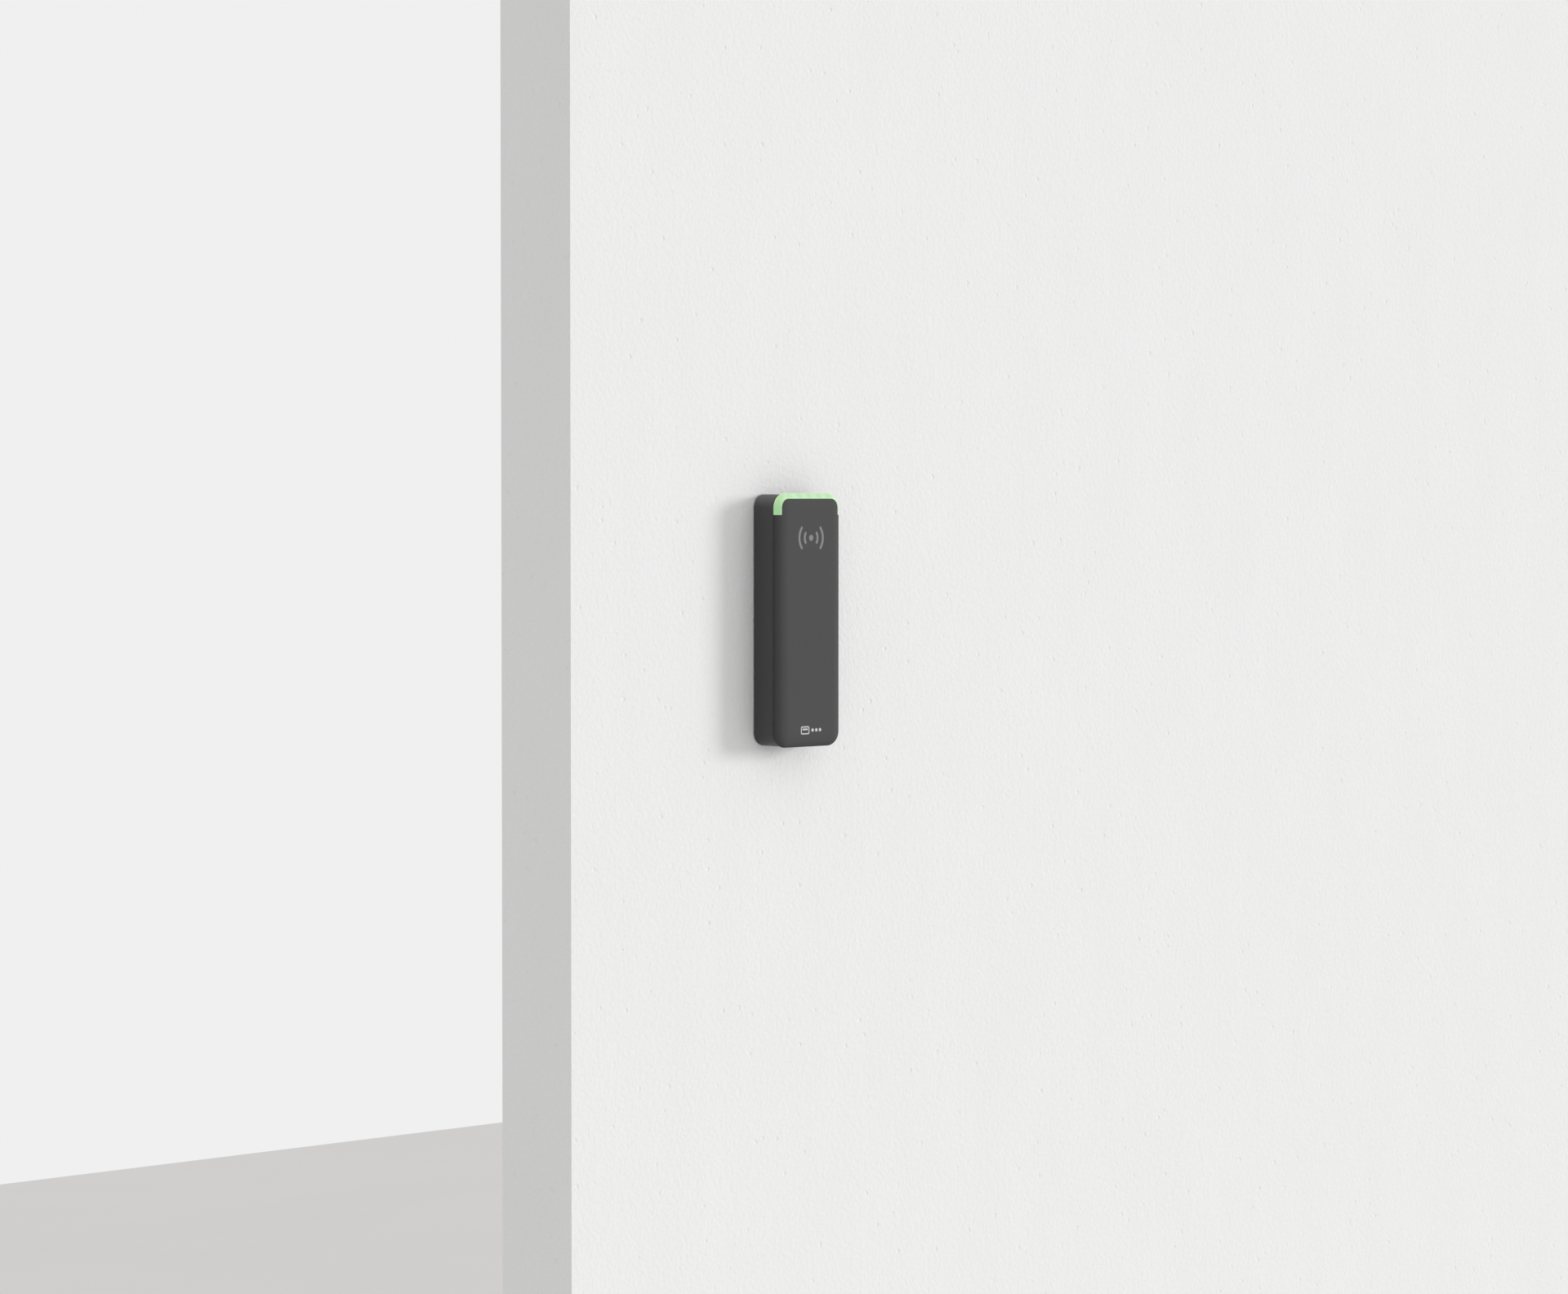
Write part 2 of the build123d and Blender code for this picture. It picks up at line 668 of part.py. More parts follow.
with BuildPart() as terminal_block:
    with BuildSketch(at(6.3)):
        with Locations((0, 6.6)):
            Rectangle(22, 8.2)
    extrude(amount=BOARD_BACK - 6.3)
    with BuildSketch(at(6.3)):
        with Locations(*POLES):
            Circle(1.35)
    extrude(amount=1.6, mode=Mode.SUBTRACT)
    # one wire entry per pole, open downwards
    with BuildSketch(Plane.XY.offset(2.5)):
        with Locations(*[(x, -9.1) for x, z in POLES]):
            Rectangle(2.3, 2.3)
    extrude(amount=6.0, mode=Mode.SUBTRACT)
keep(terminal_block, "terminal_block")

with BuildPart() as terminal_screws:
    with BuildSketch(at(6.7)):
        with Locations(*POLES):
            Circle(1.2)
    extrude(amount=1.2)
    with BuildSketch(at(6.7)):
        with Locations(*POLES):
            Rectangle(2.6, 0.45)
    extrude(amount=0.5, mode=Mode.SUBTRACT)
keep(terminal_screws, "terminal_screws")

with BuildPart() as terminal_clamps:
    with BuildSketch(Plane.XY.offset(5.2)):
        with Locations(*[(x, -9.1) for x, z in POLES]):
            Rectangle(2.1, 2.1)
            Rectangle(1.5, 1.5, mode=Mode.SUBTRACT)
    extrude(amount=3.2)
keep(terminal_clamps, "terminal_clamps")

# ==========================================================================================
# Tamper switch
# ==========================================================================================
with BuildPart() as tamper_switch:
    with BuildSketch(at(BOARD_BACK - 1.2)):
        with Locations(TAMPER):
            RectangleRounded(4.6, 4.6, 0.4)
    extrude(amount=1.2)
    with BuildSketch(at(BOARD_BACK - 1.2)):
        with Locations(TAMPER):
            Circle(1.05)
    extrude(amount=1.05, mode=Mode.SUBTRACT)
keep(tamper_switch, "tamper_switch")

with BuildPart() as tamper_button:
    with BuildSketch(at(PLUNGER_FRONT)):
        with Locations(TAMPER):
            Circle(0.97)
    extrude(amount=1.35)
keep(tamper_button, "tamper_button")

# the tip's centre, so that the ball clears the ramp by 0.1
tip = PLATE_T - RAMP * TAMPER_R + (TAMPER_R + 0.1) * (1 + RAMP * RAMP) ** 0.5

with BuildPart() as tamper_plunger:
    with BuildSketch(at(tip)):
        with Locations(TAMPER):
            Circle(TAMPER_R)
    extrude(amount=PLUNGER_FRONT - tip)
    with BuildSketch(at(PLUNGER_FRONT - 0.4)):
        with Locations(TAMPER):
            Circle(1.9)
    extrude(amount=0.4)
    with Locations((TAMPER[0], -tip, TAMPER[1])):
        Sphere(TAMPER_R)
keep(tamper_plunger, "tamper_plunger")

for piece in made:
    export_step(piece, "parts/" + piece.label + ".step")
print(len(made), "sub-parts written")
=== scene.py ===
# %% [markdown]
# # A slim contactless card reader on a wall
#
# The reader is a hand-sized box of dark moulded plastic that hangs on a plate. Its front is
# flat with a softly rolled edge, and a green light guide wraps the top of that edge. The
# solid model comes with its true sizes, so this lesson leaves most parts as they are and
# gives them their surfaces. The few parts whose solid model is simpler than the real thing,
# such as the threaded screw, are made again here and take that part's place.

import math

import bpy
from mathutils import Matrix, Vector


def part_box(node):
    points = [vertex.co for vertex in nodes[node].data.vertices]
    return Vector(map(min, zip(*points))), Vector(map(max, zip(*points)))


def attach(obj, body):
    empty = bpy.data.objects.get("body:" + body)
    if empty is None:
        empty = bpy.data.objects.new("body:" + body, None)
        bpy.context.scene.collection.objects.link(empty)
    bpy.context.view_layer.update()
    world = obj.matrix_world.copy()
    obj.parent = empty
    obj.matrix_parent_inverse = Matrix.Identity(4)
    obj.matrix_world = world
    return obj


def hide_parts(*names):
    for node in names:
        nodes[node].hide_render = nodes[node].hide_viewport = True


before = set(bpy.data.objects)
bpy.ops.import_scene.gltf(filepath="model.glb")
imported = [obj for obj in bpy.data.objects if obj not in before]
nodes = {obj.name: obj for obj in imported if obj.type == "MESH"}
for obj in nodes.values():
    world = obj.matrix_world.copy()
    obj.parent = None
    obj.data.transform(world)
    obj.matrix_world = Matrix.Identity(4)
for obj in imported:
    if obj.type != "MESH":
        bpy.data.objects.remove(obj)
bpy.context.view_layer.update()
MM = 0.001

# %% [markdown]
# ## Node trees written as sums
#
# Most finishes, and some shapes, are sums of noise, waves and masks. Wired by hand, the
# sum is hard to read. So one class wraps a socket and lets Python's own + - * / add the
# Math nodes, and a second one adds any other node. Both work in a material and in
# Geometry Nodes, because the two share the same Math node.

# %% A socket that does arithmetic
class Value:
    """One socket of a node tree. Arithmetic on it adds Math nodes to that tree."""

    def __init__(self, graph, socket):
        self.graph = graph
        self.socket = socket

    def out(self, name):
        """Another output of the same node."""
        return Value(self.graph, self.socket.node.outputs[name])

    def maths(self, operation, *terms):
        return self.graph.add("ShaderNodeMath", {"operation": operation}, *terms)

    def __add__(self, other):
        return self.maths("ADD", self, other)

    def __radd__(self, other):
        return self.maths("ADD", other, self)

    def __sub__(self, other):
        return self.maths("SUBTRACT", self, other)

    def __rsub__(self, other):
        return self.maths("SUBTRACT", other, self)

    def __mul__(self, other):
        return self.maths("MULTIPLY", self, other)

    def __rmul__(self, other):
        return self.maths("MULTIPLY", other, self)

    def __truediv__(self, other):
        return self.maths("DIVIDE", self, other)

    def above(self, edge, soft):
        """0 below the edge and 1 above it, with a ramp as wide as soft."""
        return self.maths("MINIMUM", self.maths("MAXIMUM", (self - edge) / soft + 0.5, 0.0), 1.0)

    def size(self):
        return self.maths("ABSOLUTE", self)

    def wave(self, pitch, phase=0.0):
        """A wave from 0 to 1 that repeats once every pitch."""
        turn = 2 * math.pi / pitch
        return self.maths("COSINE", (self - phase) * turn) * 0.5 + 0.5


# %% A node tree that grows one node at a time
class Graph:
    """Adds nodes to a tree: settings first, then sockets by order or by name."""

    def __init__(self, tree):
        self.tree = tree

    def feed(self, slot, value):
        if isinstance(value, Value):
            self.tree.links.new(value.socket, slot)
        elif value is not None:
            slot.default_value = value

    def add(self, kind, settings=None, *inputs, **named):
        node = self.tree.nodes.new(kind)
        for key, value in (settings or {}).items():
            setattr(node, key, value)
        for slot, value in zip(node.inputs, inputs):
            self.feed(slot, value)
        for name, value in named.items():
            self.feed(node.inputs[name.replace("_", " ")], value)
        return Value(self, node.outputs[0])


# %% A finish is a tree round one Principled shader
class Finish(Graph):
    """A material whose colour, roughness and relief are worked out from the surface."""

    def __init__(self, name, colour, roughness, **constants):
        self.material = bpy.data.materials.new(name)
        self.material.use_nodes = True
        super().__init__(self.material.node_tree)
        self.tree.nodes.clear()
        self.shader = self.add("ShaderNodeBsdfPrincipled")
        self.surface = self.tree.nodes.new("ShaderNodeOutputMaterial").inputs[0]
        self.feed(self.surface, self.shader)
        self.material.diffuse_color = (*colour, 1.0)
        self.colour = colour
        self.set("Base Color", (*colour, 1.0))
        self.set("Roughness", roughness)
        for socket, value in constants.items():
            self.set(socket.replace("_", " "), value)
        self.place = self.add("ShaderNodeTexCoord").out("Object")
        axes = self.add("ShaderNodeSeparateXYZ", None, self.place)
        self.x, self.y, self.z = axes.out("X"), axes.out("Y"), axes.out("Z")

    def set(self, socket, value):
        self.feed(self.shader.socket.node.inputs[socket], value)

    def noise(self, size, detail=2.0, stretch=(1, 1, 1)):
        """Noise whose blotches are about size across, in metres."""
        spot = self.add("ShaderNodeMapping", None, self.place, Scale=stretch)
        return self.add("ShaderNodeTexNoise", None, spot, Scale=1 / size, Detail=detail)

    def mix(self, factor, first, second):
        """A blend of two colours, each three numbers or a socket."""
        node = self.add("ShaderNodeMix", {"data_type": "RGBA"}, factor).socket.node
        for slot, value in ((node.inputs[6], first), (node.inputs[7], second)):
            self.feed(slot, value if isinstance(value, Value) else (*value, 1.0))
        return Value(self, node.outputs[2])

    def mottle(self, amount, by):
        """The base colour, made darker and lighter by amount where the socket goes from 0 to 1."""
        low = [c * (1 - amount) for c in self.colour]
        high = [c * (1 + amount) for c in self.colour]
        self.tint = self.mix(by, low, high)
        self.set("Base Color", self.tint)

    def relief(self, height, depth, strength=1.0):
        """Bumps as deep as depth, in metres, where the height socket goes from 0 to 1."""
        self.set("Normal", self.add("ShaderNodeBump", None, strength, depth, Height=height))


print("helpers ready")

# %% [markdown]
# ## The camera
#
# The reader is seen from its left, at 45 degrees to the wall and level with its top half,
# through a long lens from a little over two metres. A long lens keeps upright edges nearly
# parallel. The camera aims a little beside the reader, which leaves it off centre.

# %% Place the camera
lens = bpy.data.cameras.new("camera")
lens.sensor_width = 36.0
lens.lens = 110.6
lens.clip_start = 0.05
lens.clip_end = 50.0
camera = bpy.data.objects.new("camera", lens)
bpy.context.scene.collection.objects.link(camera)
camera.location = (-1.6206, -1.6147, 0.0600)
heading = math.radians(45.10)
dip = math.radians(-1.83)
aim = Vector((math.sin(heading) * math.cos(dip), math.cos(heading) * math.cos(dip), math.sin(dip)))
camera.rotation_mode = "QUATERNION"
camera.rotation_quaternion = aim.to_track_quat("-Z", "Y")
bpy.context.scene.camera = camera
bpy.context.scene.view_settings.view_transform = "Standard"
print("camera", round(camera.location.length, 2), "m away")

# %% [markdown]
# ## The room
#
# A reader hangs on something, so the stage is a pale plastered pier with a pale floor
# below and open light beyond its left end. The pier's front is one sheet that only
# shows from the room: seen from behind it turns transparent, so that the back of the wall
# plate can be looked at too. It is made transparent to shadow rays for the same reason.

# %% Flat sheets for the stage
def sheet(name, corners, finish):
    mesh = bpy.data.meshes.new(name)
    mesh.from_pydata(corners, [], [(0, 1, 2, 3)])
    mesh.materials.append(finish.material)
    made = bpy.data.objects.new(name, mesh)
    bpy.context.scene.collection.objects.link(made)
    return made


def one_sided(finish):
    """Lets a sheet be seen only from its front, and lets light through it."""
    clear = finish.add("ShaderNodeBsdfTransparent")
    back = finish.add("ShaderNodeNewGeometry").out("Backfacing")
    shade = finish.add("ShaderNodeLightPath").out("Is Shadow Ray")
    away = back.maths("MAXIMUM", back, shade)
    finish.feed(finish.surface, finish.add("ShaderNodeMixShader", None, away, finish.shader, clear))


# %% Plaster, with faint trowel marks and pinholes
def plastered(name, tone):
    """The same plaster in any tone: trowelled clouds, a grain, pinholes and small scuffs."""
    made = Finish(name, (tone, tone, tone), 0.95, Specular_IOR_Level=0.0)
    clouds = made.noise(0.05, 4.0, (1.6, 1, 0.6))
    grain = made.noise(0.0022, 4.0)
    pits = made.add("ShaderNodeTexVoronoi", {"feature": "F1"}, made.place, Scale=90.0)
    pinholes = 1.0 - pits.above(0.08, 0.06)
    scuffs = made.noise(0.004, 4.0, (1.5, 1, 0.8)).above(0.66, 0.12) * clouds.above(0.52, 0.25)
    made.mottle(0.018, clouds)
    made.relief((grain + clouds) * 0.5 - pinholes * 0.4 - scuffs * 0.2, 0.001, 0.6)
    one_sided(made)
    return made


plaster = plastered("plaster", 0.83)
# The pier's end face wears the same plaster in a darker tone: painted shade on the face that turns away
# from the light.
end_plaster = plastered("end_plaster", 0.76)
pale_floor = Finish("pale_floor", (0.72, 0.71, 0.70), 0.7)
pale_floor.mottle(0.03, pale_floor.noise(0.3, 4.0))

# %% The pier, the backdrop and the floor
FLOOR = -1.1
CEILING = 1.9
PIER_LEFT = -0.1374
PIER_RIGHT = 4
PIER_DEPTH = 0.0475
GAP_BEHIND = 0.0003
REACH = 5
pier = [(PIER_LEFT, FLOOR), (PIER_RIGHT, FLOOR), (PIER_RIGHT, CEILING), (PIER_LEFT, CEILING)]
sheet("pier_front", [(x, GAP_BEHIND, z) for x, z in pier], plaster)
end = [(PIER_DEPTH, FLOOR), (GAP_BEHIND, FLOOR), (GAP_BEHIND, CEILING), (PIER_DEPTH, CEILING)]
sheet("pier_end", [(PIER_LEFT, y, z) for y, z in end], end_plaster)
ground = [(-REACH, -REACH), (REACH, -REACH), (REACH, REACH), (-REACH, REACH)]
sheet("floor", [(x, y, FLOOR) for x, y in ground], pale_floor)

# %% [markdown]
# ## Light
#
# The light is soft daylight from the right, almost level with the reader: a sun with a
# wide disc gives the soft shadow to the left, and a strong even sky keeps that shadow
# pale and draws a sheen along the rolled edges. One area light behind the wall only
# serves views of the plate's back.

# %% A wide sun, a pale sky and a fill behind
world = bpy.data.worlds.new("studio")
bpy.context.scene.world = world
world.use_nodes = True
sky = Graph(world.node_tree)
seen = sky.add("ShaderNodeLightPath").out("Is Camera Ray")
world.node_tree.nodes["Background"].inputs[0].default_value = (1, 1, 1, 1)
sky.feed(world.node_tree.nodes["Background"].inputs[1], seen * 0.10 + 0.77)


def lamp(name, kind, place, aim_at, energy, **settings):
    data = bpy.data.lights.new(name, kind)
    data.energy = energy
    for key, value in settings.items():
        setattr(data, key, value)
    made = bpy.data.objects.new(name, data)
    bpy.context.scene.collection.objects.link(made)
    made.location = place
    made.rotation_mode = "QUATERNION"
    made.rotation_quaternion = (Vector(aim_at) - Vector(place)).to_track_quat("-Z", "Y")
    made.visible_camera = False
    return made


SIDE = math.radians(57)
RISE = math.radians(9)
towards = Vector((math.sin(SIDE) * math.cos(RISE), -math.cos(SIDE) * math.cos(RISE), math.sin(RISE)))
lamp("daylight", "SUN", towards * 3, (0, 0, 0), 1.65, angle=math.radians(18))
lamp("back_fill", "AREA", (0.3, 2.0, 0.5), (0, 0, 0), 32, size=1.6)
print("light comes from", [round(v, 2) for v in towards])

# %% [markdown]
# ## Soft normals on the moulded parts
#
# The solid parts arrive as loose flat triangles, so a rolled edge would shine in facets.
# Two modifiers cure that and leave the mesh itself alone. A small node tree merges the
# triangles while the part is shown and shades every edge smooth unless it bends by more
# than 30 degrees. Weighted Normal then lets the large flats keep their flatness.

# %% One shading tree for all solid parts
shading = bpy.data.node_groups.new("soft_shading", "GeometryNodeTree")
shading.interface.new_socket("Geometry", in_out="INPUT", socket_type="NodeSocketGeometry")
crease_input = shading.interface.new_socket("Crease", in_out="INPUT", socket_type="NodeSocketFloat")
crease_input.default_value = math.radians(30)
shading.interface.new_socket("Geometry", in_out="OUTPUT", socket_type="NodeSocketGeometry")
soft = Graph(shading)
given = soft.add("NodeGroupInput")
merged = soft.add("GeometryNodeMergeByDistance", None, given, Distance=2e-6)
faces = soft.add("GeometryNodeSetShadeSmooth", {"domain": "FACE"}, merged, Shade_Smooth=True)
bend = soft.add("GeometryNodeInputMeshEdgeAngle").out("Unsigned Angle")
flat_enough = soft.add("FunctionNodeCompare", {"operation": "LESS_THAN"}, bend, given.out("Crease"))
edges = soft.add("GeometryNodeSetShadeSmooth", {"domain": "EDGE"}, faces, Shade_Smooth=flat_enough)
soft.feed(shading.nodes.new("NodeGroupOutput").inputs[0], edges)


def shade_softly(part):
    tree = part.modifiers.new("soft_shading", "NODES")
    tree.node_group = shading
    weights = part.modifiers.new("flat_faces_win", "WEIGHTED_NORMAL")
    weights.keep_sharp = True


for part in nodes.values():
    shade_softly(part)
print("soft shading on", len(nodes), "parts")

# %% [markdown]
# ## Moulded plastics
#
# A spark-eroded mould leaves a fine even grain, here about a fifth of a millimetre across.
# Colour hardly changes over such a part, and what the eye reads is how the grain breaks up
# the gloss. So the grain goes into the relief and the roughness, and a slow, faint mottle
# stands for flow in the mould. The cover's colour is painted darker where its edge rolls
# back into the seam: painted shade for the little light that gets in there.

# %% A recipe for a textured moulding
def moulded(name, colour, roughness, grain, depth, **constants):
    made = Finish(name, colour, roughness, **constants)
    fine = made.noise(grain, 3.0)
    flow = made.noise(0.012, 2.0, (1, 1, 0.4))
    made.mottle(0.05, flow * 0.6 + fine * 0.4)
    made.set("Roughness", roughness - 0.04 + fine * 0.1)
    made.relief(fine, depth)
    return made


DARK_GREY = (0.075, 0.075, 0.076)
NEAR_BLACK = (0.017, 0.017, 0.018)
cover_plastic = moulded("cover_plastic", DARK_GREY, 0.7, 0.0002, 0.00002, Specular_IOR_Level=0.08)
housing_plastic = moulded("housing_plastic", NEAR_BLACK, 0.48, 0.00028, 0.00003, Specular_IOR_Level=0.65)
ROLL_MIDDLE = -15.4 * MM
ROLL_FADE = 3.6 * MM
# Painted shade: the cover's base colour darkens towards the seam behind its rolled edge.
painted_seam_shade = cover_plastic.y.above(ROLL_MIDDLE, ROLL_FADE) * 0.65
cover_plastic.set("Base Color", cover_plastic.mix(painted_seam_shade, cover_plastic.tint, (0.02, 0.02, 0.02)))
plate_plastic = moulded("plate_plastic", (0.052, 0.052, 0.053), 0.5, 0.0006, 0.00003)
acetal = moulded("plunger_acetal", (0.78, 0.77, 0.73), 0.4, 0.0005, 0.00001)
nylon = moulded("spacer_nylon", (0.75, 0.74, 0.70), 0.5, 0.0004, 0.00001)
terminal_green = moulded("terminal_plastic", (0.05, 0.22, 0.10), 0.45, 0.0003, 0.00001)
black_gloss = moulded("black_gloss", (0.02, 0.02, 0.02), 0.2, 0.0008, 0.000004, Coat_Weight=0.3)
rubber = moulded("black_rubber", (0.022, 0.022, 0.023), 0.75, 0.0004, 0.00002)
epoxy = moulded("chip_epoxy", (0.025, 0.025, 0.027), 0.6, 0.00012, 0.00001)
ferrite_core = moulded("ferrite_core", (0.07, 0.07, 0.075), 0.7, 0.00025, 0.00003)
ferrite_film = moulded("ferrite_sheet", (0.12, 0.11, 0.11), 0.55, 0.0009, 0.00001)

# %% [markdown]
# ## Printed marks
#
# The waves and the small card glyph are printed. Ink lies on the grain, so it keeps a
# trace of it, and the screen it went through leaves faint rows of dots.

# %% Two inks
def ink(name, colour):
    made = Finish(name, colour, 0.7, Specular_IOR_Level=0.15)
    rows = made.x.wave(0.00022) * made.z.wave(0.00022)
    made.mottle(0.06, rows * 0.5 + made.noise(0.0004) * 0.5)
    made.relief(made.noise(0.0002, 3.0), 0.00002)
    return made


symbol_ink = ink("symbol_ink", (0.235, 0.235, 0.237))
glyph_ink = ink("glyph_ink", (0.60, 0.60, 0.61))

# %% [markdown]
# ## Metals
#
# Screws are stainless wire, headed and turned: their marks run round the axis. The tinned
# parts are duller and a little cloudy. Each metal is the same recipe with other numbers.

# %% Metal finishes
def metal(name, colour, roughness, cloud, scratch, stretch):
    made = Finish(name, colour, roughness, Metallic=1.0)
    marks = made.noise(scratch, 3.0, stretch)
    made.mottle(0.08, made.noise(cloud, 3.0))
    made.set("Roughness", roughness - 0.06 + marks * 0.14)
    made.relief(marks, 0.000006)
    return made


steel = metal("steel_screw", (0.55, 0.55, 0.54), 0.3, 0.002, 0.0003, (0.3, 0.3, 3))
brass = metal("brass_insert", (0.72, 0.53, 0.25), 0.32, 0.0015, 0.0003, (0.4, 0.4, 3))
copper = metal("copper_trace", (0.72, 0.38, 0.20), 0.35, 0.003, 0.0004, (1, 1, 1))
gold = metal("gold_pin", (0.83, 0.66, 0.33), 0.25, 0.001, 0.0002, (1, 3, 1))
tin = metal("tinned_steel", (0.66, 0.66, 0.65), 0.36, 0.002, 0.0005, (1, 1, 1))

# %% [markdown]
# ## Board, lamps and small parts
#
# A circuit board is green because of its lacquer, and its copper shows through it as
# paler lines. Two waves that take turns in blotches of noise draw such lines without a
# picture. The lamps are pale lenses that glow a little green.

# %% Lacquered laminate
board_green = Finish("board_laminate", (0.02, 0.16, 0.07), 0.35, Coat_Weight=0.4)
upright = board_green.x.wave(0.0009).above(0.72, 0.1)
level = board_green.z.wave(0.0009).above(0.72, 0.1)
turns = board_green.noise(0.006, 0.0).above(0.5, 0.02)
used = board_green.noise(0.009, 0.0, (1, 1, 0.7)).above(0.45, 0.02)
tracks = (upright * turns + level * (1.0 - turns)) * used
board_green.set("Base Color", board_green.mix(tracks, (0.015, 0.13, 0.055), (0.04, 0.26, 0.11)))
board_green.relief(tracks, 0.00003)

# %% Lamps and ceramic
lamp_lens = Finish("led_lens", (0.8, 0.9, 0.75), 0.15, Emission_Strength=1.0)
core = lamp_lens.x.wave(0.0064, 0.0032).above(0.97, 0.02)
lamp_lens.set("Emission Color", lamp_lens.mix(core, (0.05, 0.15, 0.05), (0.3, 0.9, 0.3)))
ceramic = moulded("capacitor_ceramic", (0.45, 0.33, 0.20), 0.5, 0.0002, 0.00001)
print(len(bpy.data.materials), "materials so far")

# %% [markdown]
# ## Which part wears what
#
# The solid parts keep their shapes, so each one only gets its finish put in its slot.

# %% Hand out the finishes
worn = {
    cover_plastic: ["front_cover"],
    housing_plastic: ["rear_housing", "terminal_hatch"],
    plate_plastic: ["mounting_plate"],
    symbol_ink: ["contactless_symbol"],
    glyph_ink: ["card_glyph"],
    acetal: ["tamper_plunger", "tamper_button"],
    nylon: ["antenna_spacers"],
    terminal_green: ["terminal_block"],
    black_gloss: ["tamper_switch", "buzzer"],
    rubber: ["housing_seal", "cable_grommet"],
    epoxy: ["radio_chip", "controller_chip", "reader_chip", "voltage_regulator"],
    ferrite_core: ["power_inductor"],
    ferrite_film: ["ferrite_sheet"],
    steel: ["hatch_screws", "housing_screws", "board_screws", "terminal_screws"],
    copper: ["antenna_coil"],
    gold: ["header_pins"],
    tin: ["radio_shield", "crystals", "controller_leads", "terminal_clamps"],
    board_green: ["main_board", "antenna_board"],
    lamp_lens: ["status_leds"],
    ceramic: ["chip_capacitors"],
}
for finish, names in worn.items():
    for name in names:
        part = nodes[name]
        for slot in part.material_slots:
            slot.material = finish.material
print(sum(len(names) for names in worn.values()), "parts have a finish")

# %% [markdown]
# ## The light guide
#
# The guide is one strip of milky acrylic that follows the cover's outline over the top and
# a little way down each side. Its section is always the same, so it is a sweep: Geometry
# Nodes carry a section along a path. The section's outer line is a piece of the ellipse
# that also rolls the cover's edge, so the two surfaces run into each other, and its
# corners are slightly rounded, which draws the fine line where the parts meet.

# %% Sizes that the guide shares with the cover
cover_low, cover_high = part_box("front_cover")
guide_low, guide_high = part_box("light_guide")
HALF_W = (guide_high[0] - guide_low[0]) / 2
TOP = guide_high[2]
CORNER = 7.0 * MM
ROLL_IN = 6.9 * MM
BAND = 2.6 * MM
REAR_R = 0.65 * MM
STRAIGHT = 0.7 * MM
BACK = -guide_high[1]
EDGE = BACK + STRAIGHT
ROLL_DEEP = -cover_low[1] - EDGE
LEG_END = guide_low[2]
print("guide", round(2 * HALF_W / MM, 1), "mm wide, legs end at", round(LEG_END / MM, 1))


# %% The path over the top and the section across it
def arc(centre_x, centre_z, radius, start, stop, steps):
    turns = [math.radians(start + (stop - start) * i / steps) for i in range(steps + 1)]
    return [(centre_x + radius * math.cos(t), 0, centre_z + radius * math.sin(t)) for t in turns]


def line_curve(name, points, closed):
    """A helper curve of straight runs, which the sweep reads and nothing else shows."""
    data = bpy.data.curves.new(name, "CURVE")
    data.dimensions = "3D"
    run = data.splines.new("POLY")
    run.points.add(len(points) - 1)
    for place, point in zip(run.points, points):
        place.co = (*point, 1.0)
    run.use_cyclic_u = closed
    return bpy.data.objects.new(name, data)


path = [(-HALF_W, 0, LEG_END)]
path += arc(CORNER - HALF_W, TOP - CORNER, CORNER, 180, 90, 28)
path += arc(HALF_W - CORNER, TOP - CORNER, CORNER, 90, 0, 28)
path += [(HALF_W, 0, LEG_END)]
SOFT = 0.12 * MM
STEPS = 16
last = math.acos(1 - BAND / ROLL_IN)
rear = [math.radians(15 * i) for i in range(7)]
section = [(REAR_R * (1 - math.sin(t)), BACK + REAR_R * (1 - math.cos(t))) for t in rear]
for i in range(STEPS + 1):
    turn = last * i / STEPS
    section.append((ROLL_IN * (1 - math.cos(turn)), EDGE + ROLL_DEEP * math.sin(turn)))
inner = section[-1]
section[-1] = (inner[0] - SOFT, inner[1] - 0.35 * SOFT)
section += [(inner[0] - 0.3 * SOFT, inner[1] - 0.5 * SOFT), (inner[0], inner[1] - SOFT)]
section += [(inner[0], BACK + SOFT), (inner[0] - SOFT, BACK)]
print(len(path), "points along,", len(section), "across")


# %% A tree that sweeps the section and adds the light pipes
def new_tree(name, **inputs):
    """A Geometry Nodes tree whose inputs are named and typed as given."""
    tree = bpy.data.node_groups.new(name, "GeometryNodeTree")
    tree.interface.new_socket("Geometry", in_out="INPUT", socket_type="NodeSocketGeometry")
    for label, kind in inputs.items():
        title = label.replace("_", " ")
        tree.interface.new_socket(title, in_out="INPUT", socket_type="NodeSocket" + kind)
    tree.interface.new_socket("Geometry", in_out="OUTPUT", socket_type="NodeSocketGeometry")
    graph = Graph(tree)
    return graph, graph.add("NodeGroupInput")


def close_tree(graph, given, shape):
    """Every tree ends the same way: copies made real, then the material."""
    real = graph.add("GeometryNodeRealizeInstances", None, shape)
    dressed = graph.add("GeometryNodeSetMaterial", None, real, Material=given.out("Material"))
    graph.feed(graph.tree.nodes.new("NodeGroupOutput").inputs[0], dressed)


sweep, given = new_tree(
    "sweep_with_pipes",
    Section="Object",
    First_Pipe="Vector",
    Pipe_Pitch="Float",
    Pipe_Size="Vector",
    Material="Material",
)
track = sweep.add("GeometryNodeMeshToCurve", None, given)
track = sweep.add("GeometryNodeSetCurveNormal", {"mode": "FREE"}, track, Normal=(0, -1, 0))
outline = sweep.add("GeometryNodeObjectInfo", None, given.out("Section")).out("Geometry")
strip = sweep.add("GeometryNodeCurveToMesh", None, track, outline, Fill_Caps=True)
strip = sweep.add("GeometryNodeSetShadeSmooth", None, strip, Shade_Smooth=True)
pitch = sweep.add("ShaderNodeCombineXYZ", None, given.out("Pipe Pitch"), 0.0, 0.0)
row = sweep.add("GeometryNodeMeshLine", None, 4, Start_Location=given.out("First Pipe"), Offset=pitch)
pipe = sweep.add("GeometryNodeMeshCube", None, given.out("Pipe Size"))
pipes = sweep.add("GeometryNodeInstanceOnPoints", None, row, Instance=pipe)
both = sweep.add("GeometryNodeJoinGeometry", None, strip)
sweep.tree.links.new(pipes.socket, both.socket.node.inputs[0])
